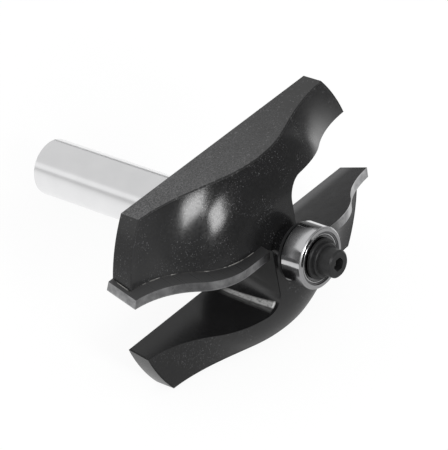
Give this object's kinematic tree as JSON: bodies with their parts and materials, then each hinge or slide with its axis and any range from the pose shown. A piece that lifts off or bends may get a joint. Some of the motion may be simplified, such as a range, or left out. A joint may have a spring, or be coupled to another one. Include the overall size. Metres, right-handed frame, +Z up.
{
  "type": "router bit",
  "caption": "Router bit with a ground shank, a milled ogee head with two carbide-tipped wings and a guide bearing held by a cap screw.",
  "frame": {"origin": "on the table, below the middle of the part's box, as the tool lies on the back edge of its lower flat and the end of its shank", "axes": "+Y from the guide bearing towards the shank, +Z up, +X from the left wing to the right one"},
  "size_m": [0.0694, 0.0768, 0.0415],
  "materials": {
    "body_steel": "satin black coating on the head, bright ground shank",
    "carbide": "ground",
    "black_oxide": "black oxide",
    "bearing_steel": "polished",
    "cage_steel": "satin"
  },
  "bodies": {
    "cutter": {"cutter_body": "body_steel", "carbide_tip_left": "carbide", "carbide_tip_right": "carbide", "rear_washer": "black_oxide", "bearing_inner_ring": "bearing_steel", "front_washer": "black_oxide", "cap_screw": "black_oxide"},
    "bearing_rim": {"bearing_outer_ring": "bearing_steel", "bearing_front_shield": "bearing_steel", "bearing_rear_shield": "bearing_steel"},
    "ball_set": {"bearing_cage": "cage_steel", "bearing_ball_1": "bearing_steel", "bearing_ball_2": "bearing_steel", "bearing_ball_3": "bearing_steel", "bearing_ball_4": "bearing_steel", "bearing_ball_5": "bearing_steel", "bearing_ball_6": "bearing_steel", "bearing_ball_7": "bearing_steel"}
  },
  "joints": [
    {"name": "bearing_spin", "type": "hinge", "parent": "cutter", "child": "bearing_rim", "pos_m": [0, -0.03106, 0.02494], "axis": [0, -0.9615, 0.2747], "continuous": true},
    {"name": "ball_set_spin", "type": "hinge", "parent": "cutter", "child": "ball_set", "pos_m": [0, -0.03106, 0.02494], "axis": [0, -0.9615, 0.2747], "continuous": true}
  ],
  "couplings": [
    {"joint": "ball_set_spin", "follows": "bearing_spin", "ratio": 0.6368}
  ]
}
